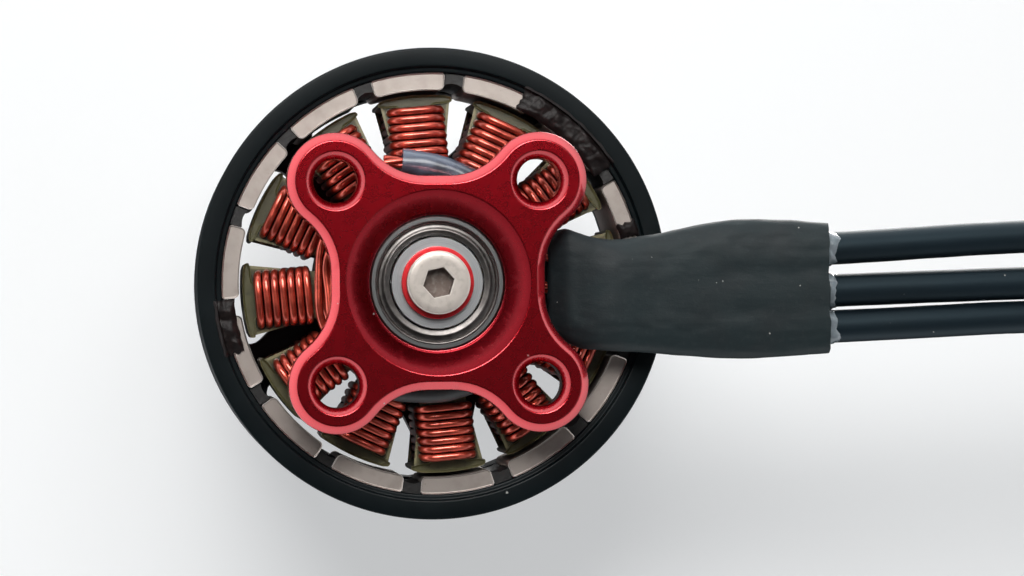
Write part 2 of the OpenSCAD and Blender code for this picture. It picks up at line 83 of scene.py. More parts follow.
# Sizes that the boxes don't show, as in the CAD source
TOOTH_COUNT = 12
TOOTH_FIRST = -4.8
TOOTH_W = 1.7
TIP_ANGLE = 22.5
TIP_T = 0.65
CORE_RING_R = 7.0
TUBE_R = 5.38
WIRE_R = 0.245
TURNS = 7
MAGNET_COUNT = 14
MAGNET_FIRST = 6.56
MAGNET_ANGLE = 20.5
MAGNET_T = 1.02
FLUX_INNER_R = BELL_R - 1.48
FLUX_STEP_R = BELL_R - 1.14
LEAD_R = 0.98
LEAD_Z = 1.9
LEAD_EXIT_X = 24.0
LEAD_EXIT_Y = (-1.87, 0.66, 2.8)
LEAD_SLOPE = (-2.8, -2.2, -1.6)


# ---- Mesh helpers --------------------------------------------------------------------

def finish_piece(name, mesh, body, finish, node, sharp):
    """Puts a piece on its CAD body, in place of a CAD node. Edges past the sharp angle stay
    crisp."""
    mesh.polygons.foreach_set("use_smooth", [True] * len(mesh.polygons))
    mesh.set_sharp_from_angle(angle=math.radians(sharp))
    mesh.materials.clear()
    mesh.materials.append(finish.owner)
    piece = bpy.data.objects.new(name, mesh)
    flat_faces = piece.modifiers.new("flat_faces", "WEIGHTED_NORMAL")
    flat_faces.keep_sharp = True
    bpy.context.scene.collection.objects.link(piece)
    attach(piece, body)
    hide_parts(node)


class Shape:
    """Collects the points and faces of one piece."""

    def __init__(self):
        self.verts = []
        self.faces = []

    def loft(self, rings, closed=False):
        """Skin over rows of equal rings, closed into a loop or capped at both ends."""
        n = len(rings[0])
        rows = len(rings)
        faces = []
        for i in range(rows if closed else rows - 1):
            a = i * n
            b = ((i + 1) % rows) * n
            faces += [(a + j, a + (j + 1) % n, b + (j + 1) % n, b + j) for j in range(n)]
        if not closed:
            faces += [tuple(range(n - 1, -1, -1)), tuple(range((rows - 1) * n, rows * n))]
        first = len(self.verts)
        self.verts += [tuple(p) for ring in rings for p in ring]
        self.faces += [tuple(first + i for i in face) for face in faces]

    def lathe(self, profile, steps=160, z=0.0):
        """Turns a closed profile of (radius, height) points round the Z axis."""
        turn = [TAU * j / steps for j in range(steps)]
        rings = [
            [(r * math.cos(a), r * math.sin(a), z + h) for r, h in profile] for a in turn
        ]
        self.loft(rings, closed=True)

    def sweep(self, path, radius, sides=10, hint=(0, 0, 1)):
        """Round rod along a path. The radius is a number, or a function of the share along."""
        path = np.asarray(path, float)
        side, up = frame_along(path, hint)
        turn = np.arange(sides) * TAU / sides
        rings = []
        for i, point in enumerate(path):
            r = radius(i / (len(path) - 1)) if callable(radius) else radius
            rings.append([
                point + r * (math.cos(a) * side[i] + math.sin(a) * up[i]) for a in turn
            ])
        self.loft(rings)

    def tube(self, path, sides, wall_r):
        """Open tube along a path. wall_r(bore, row, way) gives each wall's radius."""
        side, up = frame_along(path)
        rings = []
        rows = list(range(len(path)))
        for bore in (False, True):
            for i in (reversed(rows) if bore else rows):
                ring = []
                for j in range(sides):
                    a = TAU * j / sides
                    way = math.cos(a) * side[i] + math.sin(a) * up[i]
                    ring.append(path[i] + way * wall_r(bore, i, way))
                rings.append(ring)
        self.loft(rings, closed=True)

    def strand(self, path, turn, lay_r, strand_r, sides):
        """One wire that winds round a path at a distance, by the given turn at each point."""
        side, up = frame_along(path)
        offset = lay_r * (np.cos(turn)[:, None] * side + np.sin(turn)[:, None] * up)
        self.sweep(path + offset, strand_r, sides)

    def build(self, name, body, finish, node, sharp=40):
        mesh = bpy.data.meshes.new(name)
        mesh.from_pydata([tuple(float(c) * MM for c in v) for v in self.verts], [], self.faces)
        mesh.validate()
        bm = bmesh.new()
        bm.from_mesh(mesh)
        bmesh.ops.recalc_face_normals(bm, faces=bm.faces)
        bm.to_mesh(mesh)
        bm.free()
        finish_piece(name, mesh, body, finish, node, sharp)


def frame_along(path, hint=(0, 0, 1)):
    """Unit vectors to the side of a path and above it, at each of its points."""
    along = np.gradient(path, axis=0)
    along /= np.linalg.norm(along, axis=1)[:, None]
    side = np.cross(along, np.asarray(hint, float))
    side /= np.linalg.norm(side, axis=1)[:, None]
    return side, np.cross(side, along)


def rounded(profile, radius, steps=4):
    """A closed outline with every corner rounded to about the radius."""
    points = [np.array(p, float) for p in profile]
    out = []
    for i, corner in enumerate(points):
        before = points[i - 1] - corner
        after = points[(i + 1) % len(points)] - corner
        reach = min(radius, 0.45 * np.linalg.norm(before), 0.45 * np.linalg.norm(after))
        start = corner + before / np.linalg.norm(before) * reach
        end = corner + after / np.linalg.norm(after) * reach
        for k in range(steps + 1):
            t = k / steps
            out.append(tuple((1 - t) ** 2 * start + 2 * t * (1 - t) * corner + t * t * end))
    return out


def polar(r, angle, z=None):
    a = math.radians(angle)
    flat = (r * math.cos(a), r * math.sin(a))
    return flat if z is None else (*flat, z)


def clamped(share):
    return min(1.0, max(0.0, share))


def arc_points(r, start, end, steps, centre=(0, 0)):
    points = (polar(r, start + (end - start) * k / steps) for k in range(steps + 1))
    return [(centre[0] + x, centre[1] + y) for x, y in points]


def circle(r, z, sides):
    return [polar(r, 360 * j / sides, z) for j in range(sides)]


def turned_round_axis(points, angle):
    """Points turned about the Z axis, with or without a height."""
    a = math.radians(angle)
    return [(x * math.cos(a) - y * math.sin(a), x * math.sin(a) + y * math.cos(a), *rest)
            for x, y, *rest in points]


def inset(outline, distance):
    """A counterclockwise outline drawn in by a distance."""
    points = np.array(outline)
    before = points - np.roll(points, 1, axis=0)
    after = np.roll(points, -1, axis=0) - points
    before /= np.linalg.norm(before, axis=1)[:, None]
    after /= np.linalg.norm(after, axis=1)[:, None]
    mean = before + after
    mean /= np.linalg.norm(mean, axis=1)[:, None]
    normal = np.stack([-mean[:, 1], mean[:, 0]], axis=1)
    stretch = 1 / np.maximum(0.5, np.sqrt((1 + (before * after).sum(1)) / 2))
    return points + normal * (distance * stretch)[:, None]


def rounded_walls(outline, z0, z1, edge, steps=3):
    """Rings of a solid between two heights over an outline, with its end edges rounded."""
    rings = []
    for k in range(steps + 1):
        a = math.pi / 2 * k / steps
        rings.append([(*p, z0 + edge * (1 - math.sin(a)))
                      for p in inset(outline, edge * (1 - math.cos(math.pi / 2 - a)))])
    return rings + [[(x, y, z0 + z1 - z) for x, y, z in ring] for ring in reversed(rings)]


def wobble(point, scale, seed):
    """Smooth noise from -1 to 1 at a point, with features of about the scale."""
    place = Vector(point) / scale + Vector((seed, 2 * seed, 3 * seed))
    return noise.noise(place)


def refined(node, name, body, finish, edge, sharp=32, segments=2, limit=28):
    """The CAD node's own shape as clean faces, with its edges broken."""
    bm = bmesh.new()
    bm.from_mesh(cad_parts[node].data)
    bmesh.ops.remove_doubles(bm, verts=bm.verts, dist=1e-6)
    bmesh.ops.dissolve_limit(bm, angle_limit=math.radians(0.4), verts=bm.verts,
                             edges=bm.edges, use_dissolve_boundaries=False)
    bmesh.ops.recalc_face_normals(bm, faces=bm.faces)
    corners = [e for e in bm.edges if e.is_manifold
               and math.degrees(e.calc_face_angle(0)) > limit]
    bmesh.ops.bevel(bm, geom=corners, offset=edge * MM, segments=segments, profile=0.6,
                    affect="EDGES", clamp_overlap=True, offset_type="OFFSET")
    mesh = bpy.data.meshes.new(name)
    bm.to_mesh(mesh)
    bm.free()
    finish_piece(name, mesh, body, finish, node, sharp)


# ---- Materials -----------------------------------------------------------------------

def srgb(red, green, blue):
    def linear(c):
        c /= 255
        return c / 12.92 if c <= 0.04045 else ((c + 0.055) / 1.055) ** 2.4
    return (linear(red), linear(green), linear(blue), 1.0)


class Nodes:
    """Short calls that add nodes to the tree of a material or a world."""

    def __init__(self, owner):
        self.owner = owner
        owner.use_nodes = True
        self.tree = owner.node_tree

    def node(self, kind, **settings):
        made = self.tree.nodes.new(kind)
        for key, setting in settings.items():
            setattr(made, key, setting)
        return made

    def link(self, source, target):
        self.tree.links.new(source, target)

    def feed(self, source, target):
        """Links an output, or sets a plain value."""
        if isinstance(source, bpy.types.NodeSocket):
            self.link(source, target)
        else:
            target.default_value = source

    def constant(self, colour):
        made = self.node("ShaderNodeRGB")
        made.outputs[0].default_value = colour
        return made.outputs[0]

    def math(self, operation, *values):
        made = self.node("ShaderNodeMath", operation=operation)
        for i, value in enumerate(values):
            self.feed(value, made.inputs[i])
        return made.outputs[0]

    def times(self, a, b):
        return self.math("MULTIPLY", a, b)

    def vector_math(self, operation, *values):
        made = self.node("ShaderNodeVectorMath", operation=operation)
        for i, value in enumerate(values):
            self.feed(value, made.inputs[i])
        gives_number = operation in ("LENGTH", "DOT_PRODUCT")
        return made.outputs["Value" if gives_number else "Vector"]

    def ramp(self, fac, low, high, to_low=0.0, to_high=1.0, kind="LINEAR"):
        made = self.node("ShaderNodeMapRange", interpolation_type=kind)
        for i, value in enumerate((fac, low, high, to_low, to_high)):
            self.feed(value, made.inputs[i])
        return made.outputs[0]

    def mixed(self, fac, colour, other):
        mix = self.node("ShaderNodeMix", data_type="RGBA")
        for i, value in ((0, fac), (6, colour), (7, other)):
            self.feed(value, mix.inputs[i])
        return mix.outputs[2]


class Finish(Nodes):
    """A principled material with procedural detail, for the slot of the same name."""

    made = []

    def __init__(self, name, colour, roughness, metallic=0.0, **inputs):
        super().__init__(bpy.data.materials.new(name))
        self.made.append(self)
        self.slot = name
        self.shader = self.tree.nodes["Principled BSDF"]
        self.place = self.node("ShaderNodeTexCoord").outputs["Object"]
        self.colour = srgb(*colour)
        self.roughness = roughness
        self.normal = None
        self.set("Metallic", metallic)
        for key, setting in inputs.items():
            self.set(key.replace("_", " ").title().replace("Ior", "IOR"), setting)

    def set(self, name, value):
        self.feed(value, self.shader.inputs[name])

    def stretched(self, stretch):
        made = self.node("ShaderNodeMapping")
        made.inputs["Scale"].default_value = stretch
        self.link(self.place, made.inputs["Vector"])
        return made.outputs[0]

    def noise(self, size, detail, stretch=None, place=None):
        made = self.node("ShaderNodeTexNoise")
        made.inputs["Scale"].default_value = 1 / (size * MM)
        made.inputs["Detail"].default_value = detail
        place = place or (self.stretched(stretch) if stretch else self.place)
        self.link(place, made.inputs["Vector"])
        return made.outputs["Fac"]

    def radius(self):
        """Distance from the motor's axis, in metres."""
        return self.vector_math("LENGTH", self.vector_math("MULTIPLY", self.place, (1, 1, 0)))

    def height(self):
        """Height above the mounting face, in metres."""
        split = self.node("ShaderNodeSeparateXYZ")
        self.link(self.place, split.inputs[0])
        return split.outputs["Z"]

    def turned(self, size):
        """Noise that changes only with the distance from the axis, as turning marks do."""
        place = self.node("ShaderNodeCombineXYZ")
        self.link(self.radius(), place.inputs[0])
        return self.noise(size, 2.0, place=place.outputs[0])

    def window(self, fac, low, high, to_low=0.0, to_high=1.0):
        return self.ramp(fac, low, high, to_low, to_high, "SMOOTHSTEP")

    def tint(self, fac, colour):
        """Moves the colour towards another where fac is 1."""
        self.colour = self.mixed(fac, self.colour, srgb(*colour))

    def patches(self, noise_settings, low, high, share, colour):
        """Moves part of the colour towards another in soft patches."""
        self.tint(self.window(self.noise(*noise_settings), low, high, 0, share), colour)

    def roughen(self, fac, roughness):
        mix = self.node("ShaderNodeMix", data_type="FLOAT")
        for i, value in ((0, fac), (2, self.roughness), (3, roughness)):
            self.feed(value, mix.inputs[i])
        self.roughness = mix.outputs[0]

    def bump(self, fac, height):
        made = self.node("ShaderNodeBump")
        made.inputs["Strength"].default_value = 1.0
        made.inputs["Distance"].default_value = height * MM
        self.link(fac, made.inputs["Height"])
        if self.normal is not None:
            self.link(self.normal, made.inputs["Normal"])
        self.normal = made.outputs["Normal"]

    def grain(self, noise_settings, height):
        self.bump(self.noise(*noise_settings), height)

    def edges(self, radius, colour, reach=0.35):
        """Tints the colour along sharp edges, as a painted edge highlight."""
        round_normal = self.node("ShaderNodeBevel", samples=4)
        round_normal.inputs["Radius"].default_value = radius * MM
        flat_normal = self.node("ShaderNodeNewGeometry").outputs["Normal"]
        same = self.vector_math("DOT_PRODUCT", round_normal.outputs[0], flat_normal)
        self.tint(self.window(same, 1.0, 1.0 - reach), colour)

    def shade(self, reach, colour):
        """Paints shade into gaps that are narrower than about the reach."""
        open_share = self.node("ShaderNodeAmbientOcclusion", samples=6)
        open_share.inputs["Distance"].default_value = reach * MM
        self.tint(self.window(open_share.outputs["AO"], 0.75, 0.3), colour)

    def dust(self, size, share):
        """Sparse pale specks of uneven shape."""
        bend = 0.12 * MM
        wave = self.node("ShaderNodeTexNoise")
        wave.inputs["Scale"].default_value = 1 / bend
        self.link(self.place, wave.inputs["Vector"])
        shrunk = self.node("ShaderNodeVectorMath", operation="SCALE")
        shrunk.inputs["Scale"].default_value = bend
        self.link(wave.outputs["Color"], shrunk.inputs[0])
        cells = self.node("ShaderNodeTexVoronoi", feature="F1")
        cells.inputs["Scale"].default_value = 1 / (size * MM)
        self.link(self.vector_math("ADD", self.place, shrunk.outputs[0]),
                  cells.inputs["Vector"])
        near = self.window(cells.outputs["Distance"], 0.075, 0.03)
        chosen = self.window(self.noise(size * 2.3, 1.0), 1 - share, 1.04 - share, 0, 0.7)
        speck = self.times(near, chosen)
        self.colour = self.mixed(speck, self.colour, (0.5, 0.5, 0.48, 1))
        self.roughen(speck, 0.9)

    def done(self):
        self.set("Base Color", self.colour)
        self.set("Roughness", self.roughness)
        if self.normal is not None:
            self.set("Normal", self.normal)


f = RED = Finish("red_anodised", (164, 8, 25), 0.24, 0.95, coat_weight=0.45,
                 coat_roughness=0.12)
f.patches((2.2, 3), 0.35, 0.7, 0.35, (158, 4, 24))
# Painted shade: darker red inside the cone recess, inward of 5.5 mm radius
f.tint(f.window(f.radius(), 5.5 * MM, 5.38 * MM, 0, 0.95), (112, 8, 20))
# Painted highlight on the chamfers and sharp edges
f.edges(0.1, (255, 112, 118), 0.3)
f.roughen(f.noise(0.7, 4), 0.31)
f.bump(f.turned(0.09), 0.0008)
f.grain((0.1, 3), 0.0007)
f.dust(1.1, 0.42)
f.set("Coat Weight", f.window(f.radius(), 5.4 * MM, 5.5 * MM, 0.1, 1.0))

f = RED_WASHER = Finish("red_washer", (226, 48, 54), 0.34, 0.7, coat_weight=0.3)
f.patches((0.5, 3), 0.4, 0.7, 0.4, (150, 12, 22))
f.grain((0.06, 3), 0.001)

f = BLACK_STEEL = Finish("black_steel", (4, 12, 15), 0.36, 0.1,
                         coat_weight=0.08, coat_roughness=0.3, specular_ior_level=0.12)
f.patches((3.5, 4), 0.4, 0.75, 0.6, (14, 22, 25))
# Painted highlight along the ring's sharp edges
f.edges(0.12, (128, 134, 118), 0.3)
f.roughen(f.noise(0.8, 5), 0.5)
f.bump(f.turned(0.07), 0.0015)
f.grain((0.09, 3), 0.002)
f.dust(1.3, 0.4)

f = BLACK_ANODISED = Finish("black_anodised", (28, 30, 33), 0.36, 0.75, coat_weight=0.2)
f.patches((2.0, 4), 0.4, 0.7, 0.5, (40, 43, 47))
# Painted highlight along the cap's sharp edges
f.edges(0.1, (140, 142, 146), 0.3)
f.roughen(f.noise(0.5, 4), 0.46)
f.bump(f.turned(0.06), 0.0025)
f.grain((0.05, 3), 0.0018)
f.dust(1.5, 0.36)

f = OLIVE = Finish("olive_coat", (84, 82, 54), 0.38, coat_weight=0.3, coat_roughness=0.2)
f.patches((1.2, 4), 0.35, 0.7, 0.7, (70, 67, 44))
f.patches((0.35, 3), 0.56, 0.75, 0.5, (48, 44, 30))
# Painted highlight along the tooth tips' sharp edges
f.edges(0.08, (128, 124, 92), 0.4)
# Painted shade in the narrow gaps round the coils and in the slots
f.shade(0.5, (14, 10, 6))
f.grain((0.28, 4), 0.014)
f.dust(0.9, 0.4)

f = COPPER = Finish("enamelled_copper", (216, 90, 70), 0.26, 0.8, coat_weight=0.8,
                    coat_roughness=0.12)
f.patches((0.9, 3), 0.35, 0.7, 0.7, (128, 36, 24))
f.patches((0.25, 3), 0.6, 0.8, 0.5, (226, 112, 80))
# Painted shade in the gaps between the wires
f.shade(0.22, (10, 3, 2))
f.roughen(f.noise(0.3, 3), 0.34)
f.grain((0.18, 3), 0.004)

f = NICKEL = Finish("magnet_nickel", (168, 159, 153), 0.38, 0.95)
f.patches((0.9, 5), 0.42, 0.75, 0.4, (138, 128, 121))
f.patches((0.22, 4), 0.66, 0.8, 0.4, (96, 86, 78))
# Painted highlight along the magnets' edges
f.edges(0.06, (245, 240, 234), 0.35)
f.roughen(f.noise(0.5, 4), 0.56)
f.grain((0.12, 4), 0.003)

f = SCREW_NICKEL = Finish("screw_nickel", (204, 195, 187), 0.4, 0.6)
# Painted shade: dark brown from 0.12 mm above the face upwards, deep in the hex socket
f.tint(f.window(f.height(), 0.12 * MM, 0.5 * MM, 0, 0.85), (74, 54, 46))
f.patches((0.4, 4), 0.45, 0.75, 0.5, (168, 160, 152))
f.roughen(f.noise(0.3, 3), 0.34)
f.bump(f.turned(0.045), 0.0016)
f.grain((0.1, 3), 0.0012)

f = BEARING_STEEL = Finish("bearing_steel", (212, 214, 216), 0.3, 1.0)
f.tint(f.window(f.turned(0.09), 0.35, 0.7, 0, 0.5), (176, 178, 182))
f.tint(f.window(f.radius(), 3.5 * MM, 3.6 * MM, 0, 0.9), (128, 130, 130))
f.roughen(f.turned(0.12), 0.34)
f.bump(f.turned(0.04), 0.0012)

f = SHIELD_STEEL = Finish("shield_steel", (112, 108, 106), 0.24, 1.0)
f.patches((0.5, 4), 0.4, 0.7, 0.5, (78, 75, 73))
f.roughen(f.noise(0.2, 3), 0.48)
f.bump(f.turned(0.05), 0.001)
f.dust(0.5, 0.42)

f = CAGE_STEEL = Finish("cage_steel", (190, 178, 150), 0.35, 1.0)
f.patches((0.3, 3), 0.4, 0.7, 0.5, (140, 128, 104))
f.grain((0.08, 3), 0.001)

f = SHAFT_STEEL = Finish("shaft_steel", (182, 183, 186), 0.26, 1.0)
f.patches((0.9, 4, (1, 1, 6)), 0.4, 0.7, 0.5, (134, 134, 138))
# Painted highlight along the shaft's sharp edges
f.edges(0.06, (236, 236, 238), 0.35)
f.roughen(f.noise(0.3, 4), 0.38)
f.grain((0.12, 3, (1, 1, 12)), 0.0012)

f = BRASS = Finish("rolled_brass", (198, 164, 92), 0.3, 1.0)
f.patches((0.4, 3), 0.4, 0.7, 0.5, (150, 116, 58))
f.grain((0.08, 3), 0.001)

f = EPOXY = Finish("black_epoxy", (12, 11, 11), 0.5)
f.patches((0.5, 4), 0.45, 0.7, 0.7, (24, 21, 20))
f.grain((0.25, 5), 0.03)

f = PUTTY = Finish("putty", (17, 11, 11), 0.55, specular_ior_level=0.22)
f.patches((0.35, 5), 0.45, 0.62, 0.6, (28, 19, 18))
f.patches((0.12, 4), 0.7, 0.78, 0.3, (70, 56, 52))
f.roughen(f.noise(0.2, 4), 0.4)
f.grain((0.35, 4), 0.02)
f.grain((0.07, 4), 0.01)

f = HEAT_SHRINK = Finish("heat_shrink", (18, 31, 34), 0.52, specular_ior_level=0.3)
f.patches((3.0, 4), 0.35, 0.7, 0.7, (22, 28, 31))
f.patches((0.3, 5), 0.5, 0.75, 0.3, (40, 48, 50))
f.roughen(f.noise(0.6, 4), 0.68)
f.grain((1.1, 3, (0.5, 1.6, 1)), 0.03)
f.grain((0.1, 4), 0.006)
f.dust(0.8, 0.46)

f = SLEEVE_GLOSS = Finish("sleeve_gloss", (84, 94, 110), 0.34, coat_weight=0.5,
                          coat_roughness=0.2)
f.patches((1.4, 3), 0.4, 0.62, 0.8, (40, 45, 54))
f.grain((0.7, 3, (0.5, 1.5, 1)), 0.03)

f = SLEEVE_MATT = Finish("sleeve_matt", (52, 54, 56), 0.55)
f.patches((0.6, 4), 0.4, 0.7, 0.6, (36, 37, 38))
f.grain((0.4, 4), 0.02)

f = SILICONE = Finish("silicone", (9, 18, 25), 0.46,
                      specular_ior_level=0.32, specular_tint=(0.62, 0.88, 1.0, 1))
f.patches((2.5, 4, (0.3, 1, 1)), 0.4, 0.7, 0.7, (12, 18, 23))
f.roughen(f.noise(0.7, 4, (0.4, 1, 1)), 0.56)
f.grain((0.6, 3, (0.15, 1, 1)), 0.006)
f.grain((0.08, 3), 0.003)
f.dust(1.0, 0.4)

f = TINNED = Finish("tinned_copper", (206, 202, 196), 0.3, 1.0)
f.patches((0.4, 4, (0.4, 1, 1)), 0.45, 0.7, 0.6, (190, 132, 96))
f.grain((0.1, 3, (0.2, 1, 1)), 0.004)

f = SOLDER = Finish("solder", (180, 182, 184), 0.34, 1.0)
f.patches((0.4, 4), 0.4, 0.7, 0.6, (120, 122, 126))
f.grain((0.3, 4), 0.02)

f = ADHESIVE = Finish("clear_adhesive", (176, 190, 198), 0.26, coat_weight=0.4,
                      transmission_weight=0.65, subsurface_weight=0.2, ior=1.48)
f.set("Subsurface Radius", (MM, MM, MM))
f.patches((0.5, 4), 0.4, 0.7, 0.6, (160, 168, 178))
f.grain((0.3, 4), 0.03)

for finish in Finish.made:
    finish.done()


# ---- Base, shaft and fasteners -------------------------------------------------------

def base():
    refined("motor_base", "base_and_bearing_tube", "stator", RED, 0.06)


def shaft():
    """Ground shaft, with the propeller thread cut as a true helix."""
    sides = 72
    pitch = 0.8
    depth = 0.42
    relief = 0.9
    seat_z = node_box("bell_cap")[1][2] + 0.02
    top_z = SHAFT_HIGH[2]
    post_r = SHAFT_HIGH[0]
    shaft_r = 1.99
    bore_r = 1.02
    bore_z = 7.0
    lead_in = 0.5

    def thread_r(z, turn):
        phase = (z / pitch - turn) % 1.0
        flank = clamped(2.6 * abs(phase - 0.5) - 0.18)
        fade = clamped((z - seat_z - relief) / pitch)
        r = post_r - depth * flank * fade
        return min(r, post_r - max(0.0, z - (top_z - lead_in)))

    low_z = SHAFT_LOW[2]
    plain = [(0.01, bore_z), (bore_r, bore_z - 0.5), (bore_r, low_z + 0.1),
             (bore_r + 0.1, low_z), (shaft_r - 0.15, low_z), (shaft_r, low_z + 0.15),
             (shaft_r, seat_z - 0.01), (post_r - 0.1, seat_z), (post_r, seat_z + 0.08)]
    rings = [circle(r, z, sides) for r, z in plain]
    steps = 190
    for k in range(1, steps + 1):
        z = seat_z + 0.08 + (top_z - seat_z - 0.08) * k / steps
        rings.append([polar(thread_r(z, j / sides), 360 * j / sides, z)
                      for j in range(sides)])
    rings += [circle(0.7, top_z, sides), circle(0.1, top_z - 0.35, sides)]
    shape = Shape()
    shape.loft(rings)
    shape.build("threaded_shaft", "rotor", SHAFT_STEEL, "shaft", 28)


def shaft_screw():
    """Low-head screw: a domed nickel head with a chamfered hexagon socket."""
    sides = 120
    face_z = SCREW_LOW[2]
    head_r = SCREW_HIGH[0]
    head_base = WASHER_LOW[2] - 0.02
    flat_to_flat = 1.64
    socket_turn = 12
    floor_z = face_z + 0.72
    shank_r = 1.0
    tip_z = SCREW_HIGH[2]

    def hexagon(size, z):
        ring = []
        for j in range(sides):
            a = 360 * j / sides
            near_flat = (a + socket_turn) % 60 - 30
            ring.append(polar(size / 2 / math.cos(math.radians(near_flat)), a, z))
        return ring

    shank_and_dome = [
        (0.01, tip_z), (shank_r - 0.25, tip_z), (shank_r, tip_z - 0.25),
        (shank_r, head_base + 0.05), (shank_r + 0.03, head_base),
        (head_r - 0.06, head_base), (head_r, head_base - 0.06),
        (head_r, face_z + 0.15), (head_r - 0.02, face_z + 0.08),
        (head_r - 0.08, face_z + 0.025), (head_r - 0.17, face_z), (head_r - 0.5, face_z)
    ]
    rings = [circle(r, z, sides) for r, z in shank_and_dome]
    rings += [hexagon(flat_to_flat + 0.1, face_z + 0.001),
              hexagon(flat_to_flat, face_z + 0.05), hexagon(flat_to_flat, floor_z - 0.03),
              hexagon(flat_to_flat - 0.08, floor_z), circle(0.02, floor_z + 0.06, sides)]
    shape = Shape()
    shape.loft(rings)
    shape.build("socket_screw", "rotor", SCREW_NICKEL, "shaft_screw", 30)


def washer():
    z0, z1 = WASHER_LOW[2], WASHER_HIGH[2]
    shape = Shape()
    shape.lathe(rounded([(1.03, z0), (WASHER_HIGH[0], z0), (WASHER_HIGH[0], z1),
                         (1.03, z1)], 0.06))
    shape.build("red_retaining_washer", "rotor", RED_WASHER, "retaining_washer")


# ---- Bearings ------------------------------------------------------------------------

def bearing(prefix, z):
    """Races and shields of one bearing, turned with their real edge breaks."""
    land_r = 3.42
    seat_r = 3.63
    inner_r = 2.72
    bore_r = 2.0
    pitch_r = 3.0
    groove_r = 0.63
    w = BEARING_W
    shield_z = 0.2
    shield_t = 0.11
    seat_z = shield_z + shield_t + 0.08
    edge = 0.12
    centre = (pitch_r, w / 2)
    reach = math.degrees(math.acos((land_r - pitch_r) / groove_r))
    outer = ([(BEARING_R - edge, 0), (BEARING_R, edge), (BEARING_R, w - edge),
              (BEARING_R - edge, w), (seat_r + 0.04, w), (seat_r, w - 0.04),
              (seat_r, w - seat_z), (land_r, w - seat_z)]
             + arc_points(groove_r, reach, -reach, 12, centre)
             + [(land_r, seat_z), (seat_r, seat_z), (seat_r, 0.04), (seat_r + 0.04, 0)])
    shape = Shape()
    shape.lathe(outer, z=z)
    shape.build(f"{prefix}_outer_race", "stator", BEARING_STEEL,
                f"{prefix}_bearing_outer_race", 22)

    reach = math.degrees(math.acos((pitch_r - inner_r) / groove_r))
    inner = ([(bore_r, w - 0.14), (bore_r, 0.14), (bore_r + 0.13, 0), (inner_r - 0.04, 0),
              (inner_r, 0.05)]
             + arc_points(groove_r, 180 + reach, 180 - reach, 12, centre)
             + [(inner_r, w - 0.05), (inner_r - 0.04, w), (bore_r + 0.13, w)])
    shape = Shape()
    shape.lathe(inner, z=z)
    shape.build(f"{prefix}_inner_race", "rotor", BEARING_STEEL,
                f"{prefix}_bearing_inner_race", 22)

    # Pressed dish: a raised rim, a groove and a raised ring that ends short of the inner race
    face = [(seat_r - 0.01, 0.06), (3.6, 0.0), (3.56, 0.0), (3.5, 0.05), (3.44, 0.12),
            (3.3, 0.12), (3.22, 0.06), (3.15, 0.02), (3.08, 0.02), (2.96, 0.08),
            (2.82, 0.1), (2.8, 0.14)]
    back = [(r, h + shield_t) for r, h in reversed(face)]
    shape = Shape()
    dish = [(r, shield_z + h) for r, h in face + back]
    shape.lathe(dish, z=z)
    shape.lathe([(r, w - h) for r, h in dish], z=z)
    shape.build(f"{prefix}_shields", "stator", SHIELD_STEEL, f"{prefix}_bearing_shields", 40)


# ---- Rotor ---------------------------------------------------------------------------

def flux_ring():
    z0, z1 = RIM_Z, CAP_Z
    step_z = MAGNET_LOW[2] - 0.02
    shape = Shape()
    shape.lathe(rounded([(FLUX_STEP_R, z0), (BELL_R, z0), (BELL_R, z1),
                         (FLUX_INNER_R, z1), (FLUX_INNER_R, step_z),
                         (FLUX_STEP_R, step_z)], 0.13), 240)
    shape.build("flux_ring_steel", "rotor", BLACK_STEEL, "flux_ring", 50)


def bell_cap():
    refined("bell_cap", "spoked_cap", "rotor", BLACK_ANODISED, 0.12, 30, 3, 24)


def magnet_outline(middle):
    """End of one curved magnet, rounded towards the stator."""
    half = MAGNET_ANGLE / 2
    r0 = FLUX_INNER_R - 0.02 - MAGNET_T
    r1 = FLUX_INNER_R - 0.02
    inner_corner = 0.34
    outer_corner = 0.12
    inner_turn = math.degrees(inner_corner / r0)
    outer_turn = math.degrees(outer_corner / r1)
    side = [(r1, half - outer_turn), (r1 - outer_corner, half)]
    for k in range(7):
        a = math.pi / 2 * k / 6
        side.append((r0 + inner_corner * (1 - math.sin(a)),
                     half - inner_turn * (1 - math.cos(a)) * 0.9))
    across = [(r0, (half - inner_turn) * (1 - k / 6)) for k in range(1, 12)]
    back = [(r1, (half - outer_turn) * (k / 7 - 1)) for k in range(1, 14)]
    mirrored = [(r, -a) for r, a in reversed(side)]
    return [polar(r, middle + a) for r, a in side + across + mirrored + back]


def magnets():
    shape = Shape()
    for i in range(MAGNET_COUNT):
        middle = MAGNET_FIRST + 360 / MAGNET_COUNT * i
        lift = random.uniform(0.0, 0.05)
        shape.loft(rounded_walls(magnet_outline(middle + random.uniform(-0.25, 0.25)),
                                 MAGNET_LOW[2] + lift, MAGNET_HIGH[2] - 0.05 + lift, 0.1))
    shape.build("nickel_magnets", "rotor", NICKEL, "magnets", 50)


